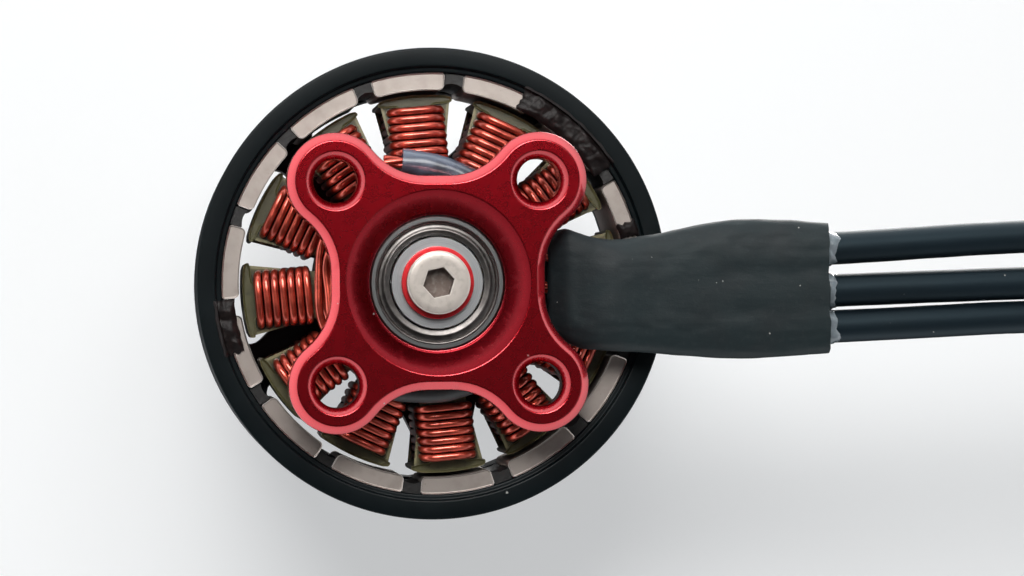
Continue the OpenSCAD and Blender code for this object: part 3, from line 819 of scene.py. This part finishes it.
def magnet_filler():
    """Uneven black filler between the magnets."""
    shape = Shape()
    low, high = node_box("magnet_adhesive")
    pitch = 360 / MAGNET_COUNT
    half = (pitch - MAGNET_ANGLE) / 2 - 0.1
    across, up = 8, 14
    for i in range(MAGNET_COUNT):
        middle = MAGNET_FIRST + pitch * (i + 0.5)
        rings = []
        for row in range(up + 1):
            z = low[2] + (high[2] - low[2]) * row / up
            ring = []
            for k in range(across + 1):
                a = middle - half + 2 * half * k / across
                sag = 0.32 + 0.1 * wobble(polar(11, a, z), 0.8, 3.0)
                dip = 0.12 * math.sin(math.pi * k / across)
                ring.append(polar(FLUX_INNER_R - 1.04 + sag + dip, a, z))
            for k in range(across, -1, -1):
                a = middle - half + 2 * half * k / across
                ring.append(polar(FLUX_INNER_R - 0.02, a, z))
            rings.append(ring)
        shape.loft(rings)
    shape.build("magnet_filler", "rotor", EPOXY, "magnet_adhesive", 60)


def putty_patch(shape, start, sweep, r0, r1, seed):
    """One rough patch over an angle: a crust on the magnets' ends that laps on to the rim."""
    along, across = max(10, int(sweep * 3.2)), 20
    base_z = MAGNET_LOW[2] - 0.01
    rim_z = RIM_Z - 0.005
    lowest_z = node_box("balance_putty")[0][2] + 0.02
    crust, lump_rise = 0.12, 0.3
    top, bottom = [], []
    for i in range(along + 1):
        u = i / along
        row_top, row_bottom = [], []
        for j in range(across + 1):
            v = j / across
            angle = start + sweep * u
            edge = 0.5 * wobble((angle * 0.4, seed, v), 1.0, seed)
            r = r0 + (r1 - r0) * v + 0.16 * edge * (1 if v in (0, 1) else 0.3)
            angle += 0.9 * wobble((v * 5, seed, u), 1.0, seed + 4)
            place = polar(r, angle, 0)
            fall = min(1, 5 * u, 5 * (1 - u), 4 * v, 4 * (1 - v)) ** 0.5
            lump = 0.5 + 0.45 * wobble(place, 0.6, seed) + 0.1 * wobble(place, 0.2, seed)
            ground = base_z if r < FLUX_STEP_R - 0.03 else rim_z
            height = fall * (crust + lump_rise * max(0.0, lump))
            row_top.append(polar(r, angle, max(lowest_z, ground - height)))
            row_bottom.append(polar(r, angle, ground))
        top.append(row_top)
        bottom.append(row_bottom)
    rings = [row_t + row_b[::-1] for row_t, row_b in zip(top, bottom)]
    shape.loft(rings)


def balance_putty():
    shape = Shape()
    putty_patch(shape, -64, 31, 11.62, 13.1, 1.0)
    putty_patch(shape, -17, 4.2, 11.6, 12.78, 2.0)
    putty_patch(shape, 161, 15, 11.9, 13.15, 3.0)
    shape.build("rough_putty", "rotor", PUTTY, "balance_putty", 70)


# ---- Stator and windings -------------------------------------------------------------

def stator_outline():
    """Twelve boat-shaped tooth tips on stems, round the core ring."""
    half = TIP_ANGLE / 2
    under = STATOR_R - TIP_T
    stem = TOOTH_W / 2
    step = 360 / TOOTH_COUNT
    end_r = 0.19
    foot = math.degrees(math.asin(stem / CORE_RING_R))
    tip_x, tip_y = polar(STATOR_R, half)
    tip_x -= 0.21
    tip_y -= 0.16
    side = [polar(CORE_RING_R, -foot), (under - 0.5, -stem), (under - 0.12, -stem - 0.1),
            (under + 0.02, -stem - 0.32), (tip_x - end_r, -tip_y + 0.25)]
    side += arc_points(end_r, 235, 330, 5, (tip_x, -tip_y))
    crown = arc_points(STATOR_R, -half + 1.6, half - 1.6, 12)
    between = arc_points(CORE_RING_R, foot, step - foot, 4)[1:-1]
    tooth = side + crown + [(x, -y) for x, y in reversed(side)] + between
    outline = []
    for i in range(TOOTH_COUNT):
        outline += turned_round_axis(tooth, TOOTH_FIRST + step * i)
    return outline


def stator():
    """Coated lamination stack, closed on its bore by a ring of the same height."""
    outline = stator_outline()
    z0, z1 = STACK_LOW[2] - 0.03, STACK_HIGH[2] + 0.03
    bore = [[polar(TUBE_R + 0.02, math.degrees(math.atan2(y, x)), z) for x, y in outline]
            for z in (z1, z0)]
    shape = Shape()
    shape.loft(rounded_walls(outline, z0, z1, 0.14, 4) + bore, closed=True)
    shape.build("coated_laminations", "stator", OLIVE, "stator_core", 45)


def wound_loop(half_w, half_h, corner, t):
    """Point at share t round a rounded rectangle, starting halfway up its right side."""
    straight_w = 2 * (half_w - corner)
    straight_h = 2 * (half_h - corner)
    bend = corner * math.pi / 2
    total = 2 * (straight_w + straight_h) + 4 * bend
    s = (t % 1.0) * total + straight_h / 2
    w, h = half_w - corner, half_h - corner
    sides = [((half_w, -h), (0, 1), straight_h, (w, h), 0),
             ((w, half_h), (-1, 0), straight_w, (-w, h), 90),
             ((-half_w, h), (0, -1), straight_h, (-w, -h), 180),
             ((-w, -half_h), (1, 0), straight_w, (w, -h), 270)]
    while True:
        for start, way, length, centre, first in sides:
            if s <= length:
                return (start[0] + way[0] * s, start[1] + way[1] * s)
            s -= length
            if s <= bend:
                a = math.radians(first + 90 * s / bend)
                return (centre[0] + corner * math.cos(a), centre[1] + corner * math.sin(a))
            s -= bend


def coil_path(seed):
    """Two layers of turns round one tooth: out along the stem, then back over them."""
    steps = 30
    layer_rise = 1.72 * WIRE_R
    crossing = 0.2  # share of a turn in which the wire steps to its next row
    mid_z = (STACK_LOW[2] + STACK_HIGH[2]) / 2
    stem_w = TOOTH_W / 2 + 0.02 + WIRE_R
    stem_h = (STACK_HIGH[2] - STACK_LOW[2]) / 2 + 0.05 + WIRE_R
    outer_x = STATOR_R - TIP_T - 0.04 - WIRE_R
    pitch = 2 * WIRE_R
    path = []
    for layer in range(2):
        half_w = stem_w + layer * layer_rise
        half_h = stem_h + layer * layer_rise
        corner = 0.3 + layer * 0.36
        for k in range(TURNS * steps + 1):
            turn = k / steps
            whole = math.floor(turn)
            part = turn - whole
            shift = clamped((part - 1 + crossing) / crossing)
            shift = shift * shift * (3 - 2 * shift)
            row = min(TURNS - 1, whole + shift)
            x = outer_x - pitch * (TURNS - 1 - row if layer == 0 else row)
            y, z = wound_loop(half_w, half_h, corner, part)
            loose = 0.012 * wobble((turn * 3, layer * 7, seed), 1.0, seed)
            path.append((x + loose, y, mid_z + z * (1 + 0.4 * loose)))
    return path


def coils():
    phases = {"a": 0, "b": 2, "c": 4}
    step = 360 / TOOTH_COUNT
    for phase, first in phases.items():
        shape = Shape()
        for i in (0, 1, 6, 7):
            tooth = (first + i) % TOOTH_COUNT
            angle = TOOTH_FIRST + step * tooth
            shape.sweep(turned_round_axis(coil_path(tooth * 1.37), angle), WIRE_R * 0.985, 10,
                        polar(1, angle, 0))
        shape.build(f"phase_{phase}_windings", "stator", COPPER, f"phase_{phase}_coils", 80)


def hub_run(start, end, r0, r1, z):
    """Run that closes in on the hub quickly at first and then slowly."""
    steps = 36
    return [polar(r1 + (r0 - r1) * (1 - k / steps) ** 3, start + (end - start) * k / steps, z)
            for k in range(steps + 1)]


def bezier(points, steps):
    p = [np.array(q, float) for q in points]
    out = []
    for k in range(1, steps + 1):
        t = k / steps
        out.append((1 - t) ** 3 * p[0] + 3 * t * (1 - t) ** 2 * p[1]
                   + 3 * t * t * (1 - t) * p[2] + t ** 3 * p[3])
    return out


def lead_point(i, along):
    a = math.radians(LEAD_SLOPE[i])
    return (LEAD_EXIT_X + along * math.cos(a), LEAD_EXIT_Y[i] + along * math.sin(a), LEAD_Z)


TAIL_Z = 3.3
TAIL_TURN = 22
UPPER_RUN = hub_run(-112, -TAIL_TURN, 7.85, 6.2, TAIL_Z)
LOWER_RUN = hub_run(122, TAIL_TURN, 6.9, 6.2, TAIL_Z)


def tail_paths():
    turn = math.radians(TAIL_TURN)
    headings = ((math.sin(turn), math.cos(turn), 0), (0.6, 0, -0.5),
                (math.sin(turn), -math.cos(turn), 0))
    runs = (UPPER_RUN, [(6.0, 0.2, TAIL_Z + 0.3)], LOWER_RUN)
    for i, (run, heading) in enumerate(zip(runs, headings)):
        start = np.array(run[-1])
        handles = [start, start + 1.4 * np.array(heading), lead_point(i, -14.2),
                   lead_point(i, -11.2)]
        yield [np.array(p, float) for p in run] + bezier(handles, 30)


def phase_tails():
    """Each tail is three enamelled wires laid round one another."""
    lay_length = 7.0
    lay_r = 0.2
    wire_r = 0.17
    shape = Shape()
    for path in tail_paths():
        path = np.array(path)
        run = np.concatenate([[0], np.cumsum(np.linalg.norm(np.diff(path, axis=0), axis=1))])
        for k in range(3):
            shape.strand(path, TAU * (run / lay_length + k / 3), lay_r, wire_r, 8)
    shape.build("phase_tail_wires", "stator", COPPER, "phase_tails", 80)


def crossovers():
    shape = Shape()
    # Radius, height, first angle and sweep of each run
    runs = ((6.45, 3.1, 150, 52), (6.98, 3.3, 155, 62), (6.7, 3.85, 146, 40))
    for r, z, start, sweep in runs:
        path = []
        for k in range(41):
            u = k / 40
            bow = 0.1 * math.sin(3 * math.pi * u + r)
            path.append(polar(r + bow, start + sweep * u, z + 0.12 * math.sin(TAU * u + z)))
        shape.sweep(path, WIRE_R, 12)
    shape.build("crossover_wires", "stator", COPPER, "winding_crossovers", 80)


def sleeve(run, name, finish, node, r, seed):
    """Insulating sleeve with slight lumps and an open end."""
    path = np.array(run[3:28])
    wall = 0.24

    def wall_r(bore, i, way):
        return r - wall * bore + 0.05 * wobble(path[i] + way, 0.9, seed)

    shape = Shape()
    shape.tube(path, 32, wall_r)
    shape.build(name, "stator", finish, node, 60)


# ---- Leads ---------------------------------------------------------------------------

# Distance from the axis, then the lowest and highest Y and Z of the heat-shrink there
SHRINK_SECTIONS = np.array([
    (6.7, -2.9, 2.9, 2.25, 4.05), (7.2, -3.05, 3.05, 1.8, 4), (7.6, -3.15, 3.45, 1.4, 3.95),
    (8.5, -2.8, 3.93, 1, 3.7), (9.7, -2.45, 4.08, 0.5, 3.45), (12.7, -2.63, 4.28, 0.5, 3.35),
    (15.2, -3.1, 4.52, 0.5, 3.35), (17, -3.43, 4.63, 0.5, 3.35),
    (18.8, -3.54, 4.67, 0.5, 3.35), (20.7, -3.47, 4.6, 0.5, 3.35),
    (23.5, -3.27, 4.42, 0.5, 3.35)
])


def smooth_between(x, xs, ys):
    """Cubic through the given points, with slopes from their neighbours."""
    slopes = np.gradient(ys, xs)
    i = int(np.clip(np.searchsorted(xs, x) - 1, 0, len(xs) - 2))
    h = xs[i + 1] - xs[i]
    t = (x - xs[i]) / h
    return ((2 * t ** 3 - 3 * t ** 2 + 1) * ys[i] + (t ** 3 - 2 * t ** 2 + t) * h * slopes[i]
            + (3 * t ** 2 - 2 * t ** 3) * ys[i + 1] + (t ** 3 - t ** 2) * h * slopes[i + 1])


def heat_shrink_tube():
    """Shrunk sleeve that clings to what it holds, with wrinkles and cut ends."""
    sides, rows = 112, 96
    wall = 0.28
    squareness = 0.62  # power of the section: 1 is an ellipse, and less is squarer
    xs = SHRINK_SECTIONS[:, 0]
    outer, inner = [], []
    for i in range(rows + 1):
        x = xs[0] + (xs[-1] - xs[0]) * i / rows
        y0, y1, z0, z1 = (smooth_between(x, xs, SHRINK_SECTIONS[:, k]) for k in range(1, 5))
        y0 -= 0.12 * clamped(x - 7.5)
        half_w, half_h = (y1 - y0) / 2, (z1 - z0) / 2
        mid_y, mid_z = (y0 + y1) / 2, (z0 + z1) / 2
        hold = clamped((x - 13.0) / 5.0)
        ring_out, ring_in = [], []
        for j in range(sides):
            a = TAU * j / sides
            c = math.copysign(abs(math.cos(a)) ** squareness, math.cos(a))
            s = math.copysign(abs(math.sin(a)) ** squareness, math.sin(a))
            y = mid_y + half_w * c
            valley = 0.0
            for k in range(2):
                gap_y = (lead_point(k, x - LEAD_EXIT_X)[1]
                         + lead_point(k + 1, x - LEAD_EXIT_X)[1]) / 2
                valley += math.exp(-((y - gap_y) / 0.5) ** 2)
            crease = (0.06 * wobble((x, y * 1.6, s), 1.6, 5.0)
                      + 0.035 * wobble((x * 0.6, y * 2.2, s * 3), 0.7, 6.0))
            end = 0.0
            if i == rows or i == 0:
                end = 0.16 * wobble((y, s, i), 0.8, 2.0) - 0.14 * (1 - c * c) * (i > 0)
            curve = 0.06 * (abs(c) ** 3) * (1 - i / rows) ** 8
            drop = half_h * (1 - 0.05 * hold * valley * abs(s)) + crease - 0.04
            point = (x + end + curve, y + 0.5 * crease * c, mid_z + drop * s)
            ring_out.append(point)
            ring_in.append((x + end * 0.8 + curve, mid_y + (half_w - wall) * c,
                            mid_z + (drop - wall) * s))
        outer.append(ring_out)
        inner.append(ring_in)
    shape = Shape()
    shape.loft(outer + inner[::-1], closed=True)
    shape.build("shrunk_sleeve", "stator", HEAT_SHRINK, "lead_heat_shrink", 60)


def lead_path(i, start, end, step=0.8):
    """Lead axis with the slight bends that a soft lead keeps."""
    sway, rise = 0.22, 0.16
    count = int((end - start) / step)
    path = []
    for k in range(count + 1):
        along = start + (end - start) * k / count
        x, y, z = lead_point(i, along)
        free = clamped(along / 12)
        y += sway * free * wobble((along, i * 5.0, 0), 14.0, 1.0 + i)
        z += rise * free * wobble((along, i * 5.0, 9), 16.0, 2.0 + i)
        path.append((x, y, z))
    return path


def leads():
    """Black silicone leads with a slightly uneven skin and a broken end edge."""
    bore_r = 0.48
    for i, letter in enumerate("abc"):
        path = np.array(lead_path(i, -8.1, LEAD_END_X - LEAD_EXIT_X))
        ends = (0, len(path) - 1)

        def wall_r(bore, k, way):
            if bore:
                return bore_r
            return LEAD_R - 0.05 * (k in ends) + 0.012 * wobble(path[k] + way, 1.5, i)

        shape = Shape()
        shape.tube(path, 40, wall_r)
        shape.build(f"silicone_lead_{letter}", "stator", SILICONE,
                    f"lead_insulation_{letter}", 50)


def conductors():
    """Stranded conductors, each of nineteen strands laid round one another."""
    shape = Shape()
    strand_r = 0.088
    turn_per_point = 0.035
    layers = ((0.0, 1), (0.17, 6), (0.345, 12))  # distance from the middle, and strands
    for i in range(3):
        path = np.array(lead_path(i, -11, TIP_END_X - LEAD_EXIT_X, 1.2))
        for layer_r, count in layers:
            for k in range(count):
                turn = TAU * (k / count + np.arange(len(path)) * turn_per_point)
                shape.strand(path, turn, layer_r, strand_r, 6)
    shape.build("lead_strands", "stator", TINNED, "lead_conductors", 80)


def solder_joints():
    start, length, joint_r = -12.4, 3.2, 0.6
    shape = Shape()
    for i in range(3):
        path = [lead_point(i, start + length * k / 24) for k in range(25)]

        def barrel(u, i=i):
            ends = min(1.0, 4.5 * u + 0.55, 4.5 * (1 - u) + 0.55)
            return joint_r * ends * (1 + 0.05 * wobble((u * 3, i, 0), 0.6, i))

        shape.sweep(path, barrel, 24)
    shape.build("solder_barrels", "stator", SOLDER, "solder_joints", 60)


def adhesive_drops():
    """Milky drops squeezed out round each lead where it leaves the sleeve."""
    shape = Shape()
    sides, rows = 40, 22
    start, length = -0.9, 0.85
    for i in range(3):
        rings = []
        for k in range(rows + 1):
            u = k / rows
            along = start + length * u
            profile = math.sin(math.pi * min(1.0, 0.22 + 0.78 * u)) ** 0.6
            ring = []
            for j in range(sides):
                a = TAU * j / sides
                lobe = wobble((math.cos(a), math.sin(a), i * 2.0), 0.9, 4.0 + i)
                lobe += 0.5 * wobble((math.cos(a) * 2, math.sin(a) * 2, u * 2), 0.6, 8.0 + i)
                r = LEAD_R - 0.06 + (0.15 + 0.14 * lobe) * profile
                x, y, z = lead_point(i, along + 0.34 * u * lobe)
                ring.append((x, y + r * math.cos(a), z + r * math.sin(a)))
            rings.append(ring)
        shape.loft(rings)
    shape.build("adhesive_drops", "stator", ADHESIVE, "lead_adhesive", 70)


# ---- Pieces --------------------------------------------------------------------------

base()
shaft()
shaft_screw()
washer()
bearing("lower", LOWER_BEARING_Z)
bearing("upper", UPPER_BEARING_Z)
flux_ring()
bell_cap()
magnets()
magnet_filler()
balance_putty()
stator()
coils()
phase_tails()
crossovers()
sleeve(UPPER_RUN, "glossy_sleeve", SLEEVE_GLOSS, "upper_sleeve", 0.8, 1.0)
sleeve(LOWER_RUN, "matt_sleeve", SLEEVE_MATT, "lower_sleeve", 0.7, 2.0)
heat_shrink_tube()
leads()
conductors()
solder_joints()
adhesive_drops()

# CAD nodes that are shown as they are
KEPT_NODES = {
    "bell_shim": BRASS,
    "lower_bearing_cage": CAGE_STEEL, "upper_bearing_cage": CAGE_STEEL,
    "lower_bearing_balls": BEARING_STEEL, "upper_bearing_balls": BEARING_STEEL,
}
for node_name, node_finish in KEPT_NODES.items():
    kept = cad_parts[node_name]
    kept.data.materials.clear()
    kept.data.materials.append(node_finish.owner)


# ---- Stage, light and camera ---------------------------------------------------------

def one_sided_sheet(name, z, facing, ambient, steep):
    """Pale sheet that only the camera sees, only from its front, and not edge on when steep."""
    half_side = 2500 * MM
    colour = (0.66, 0.67, 0.68, 1)
    paper = Nodes(bpy.data.materials.new(name))
    paper.tree.nodes.clear()
    place = paper.node("ShaderNodeTexCoord").outputs["Object"]
    grain = paper.node("ShaderNodeTexNoise")
    grain.inputs["Scale"].default_value = 9.0
    paper.link(place, grain.inputs["Vector"])
    diffuse = paper.node("ShaderNodeBsdfDiffuse")
    darker = tuple(c * 0.97 for c in colour[:3]) + (1,)
    paper.link(paper.mixed(grain.outputs["Fac"], paper.constant(colour), darker),
               diffuse.inputs["Color"])
    # The sheet also glows: painted light that lifts it and softens the shadows on it, at the
    # ambient strength near the middle and 0.5 far out
    glow = paper.node("ShaderNodeEmission")
    glow.inputs["Color"].default_value = (0.985, 0.995, 1.0, 1)
    away = paper.vector_math("LENGTH", place)
    paper.link(paper.ramp(away, 0.06, 0.7, ambient, 0.5), glow.inputs["Strength"])
    lit = paper.node("ShaderNodeAddShader")
    paper.link(diffuse.outputs[0], lit.inputs[0])
    paper.link(glow.outputs[0], lit.inputs[1])
    geometry = paper.node("ShaderNodeNewGeometry").outputs
    front = paper.math("SUBTRACT", 1.0, geometry["Backfacing"])
    seen = paper.times(front, paper.node("ShaderNodeLightPath").outputs["Is Camera Ray"])
    if steep:
        square_on = paper.vector_math("DOT_PRODUCT", geometry["Incoming"], geometry["Normal"])
        seen = paper.times(seen, paper.math("GREATER_THAN", square_on, 0.6))
    shown = paper.node("ShaderNodeMixShader")
    clear = paper.node("ShaderNodeBsdfTransparent")
    for i, source in enumerate((seen, clear.outputs[0], lit.outputs[0])):
        paper.link(source, shown.inputs[i])
    output = paper.node("ShaderNodeOutputMaterial")
    paper.link(shown.outputs[0], output.inputs["Surface"])
    corners = [(x * half_side, y * half_side, z * MM)
               for x, y in ((-1, -1), (1, -1), (1, 1), (-1, 1))]
    mesh = bpy.data.meshes.new(name)
    mesh.from_pydata(corners, [], [(0, 1, 2, 3) if facing > 0 else (3, 2, 1, 0)])
    mesh.materials.append(paper.owner)
    sheet = bpy.data.objects.new(name, mesh)
    bpy.context.scene.collection.objects.link(sheet)


def area_light(name, place, size, watts, colour):
    data = bpy.data.lights.new(name, "AREA")
    data.shape = "DISK"
    data.size = size * MM
    data.energy = watts
    data.color = colour
    lamp = bpy.data.objects.new(name, data)
    lamp.location = Vector(place) * MM
    lamp.rotation_mode = "QUATERNION"
    lamp.rotation_quaternion = (-Vector(place)).to_track_quat("-Z", "Y")
    lamp.visible_camera = False
    bpy.context.scene.collection.objects.link(lamp)


def soft_world():
    """Pale studio surround: bright round the horizon, dimmer along the axis and beyond +Y."""
    sky = Nodes(bpy.data.worlds.new("studio"))
    bpy.context.scene.world = sky.owner
    background = sky.tree.nodes["Background"]
    way = sky.node("ShaderNodeTexCoord").outputs["Generated"]
    split = sky.node("ShaderNodeSeparateXYZ")
    sky.link(way, split.inputs[0])
    height = sky.math("ABSOLUTE", split.outputs["Z"])
    side = sky.vector_math("DOT_PRODUCT", way, (0.55, 0.83, 0))
    strength = sky.times(sky.ramp(height, 0.08, 0.55, 2.5, 0.05),
                         sky.ramp(side, -1.0, 1.0, 1.22, 0.72))
    to_camera = sky.node("ShaderNodeLightPath").outputs["Is Camera Ray"]
    shown = sky.node("ShaderNodeMix", data_type="FLOAT")
    sky.link(to_camera, shown.inputs[0])
    sky.link(strength, shown.inputs[2])
    shown.inputs[3].default_value = 0.9
    sky.link(shown.outputs[0], background.inputs["Strength"])
    background.inputs["Color"].default_value = (0.97, 0.985, 1.0, 1)


def photo_camera():
    """Camera below the base, leaning towards -X and a little towards +Y."""
    distance = 200.0
    field_w = 59.99
    yaw, pitch, roll = (math.radians(angle) for angle in (6.25, 0.6, -0.57))
    base_left, base_up = 4.265, 0.322

    def tilted(a, b, angle):
        return (a * math.cos(angle) + b * math.sin(angle),
                b * math.cos(angle) - a * math.sin(angle))

    right, up = Vector((math.cos(yaw), 0, -math.sin(yaw))), Vector((0, -1, 0))
    up, back = tilted(up, right.cross(up), pitch)
    right, up = tilted(right, up, roll)
    data = bpy.data.cameras.new("camera")
    data.sensor_width = 36.0
    data.lens = data.sensor_width * distance / field_w
    data.clip_start = 0.01
    data.clip_end = 20.0
    camera = bpy.data.objects.new("camera", data)
    bpy.context.scene.collection.objects.link(camera)
    basis = Matrix((right, up, back)).transposed().to_4x4()
    place = right * base_left - up * base_up + back * distance
    camera.matrix_world = Matrix.Translation(place * MM) @ basis
    bpy.context.scene.camera = camera


# The table holds the propeller post in the photo. The floor holds the base in views from above.
one_sided_sheet("table_below_the_propeller_post", SHAFT_HIGH[2] + 0.05, -1, 0.33, True)
one_sided_sheet("floor_below_the_base", -0.05, 1, 0.05, False)
# Each lamp's place, diameter, watts and colour, with the photo's side first
area_light("key", (-54, -160, -266), 160, 0.68, (1.0, 0.99, 0.97))
area_light("fill", (260, 120, -330), 320, 0.1, (0.95, 0.97, 1.0))
area_light("near_top", (10, -46, -76), 34, 0.023, (1.0, 0.99, 0.97))
area_light("near_key", (36, -40, -84), 36, 0.004, (1.0, 0.99, 0.98))
area_light("top_key", (160, -260, 330), 280, 1.6, (1.0, 0.99, 0.97))
area_light("top_fill", (-260, 180, 260), 320, 0.5, (0.95, 0.97, 1.0))
soft_world()
photo_camera()
bpy.context.scene.view_settings.view_transform = "Standard"
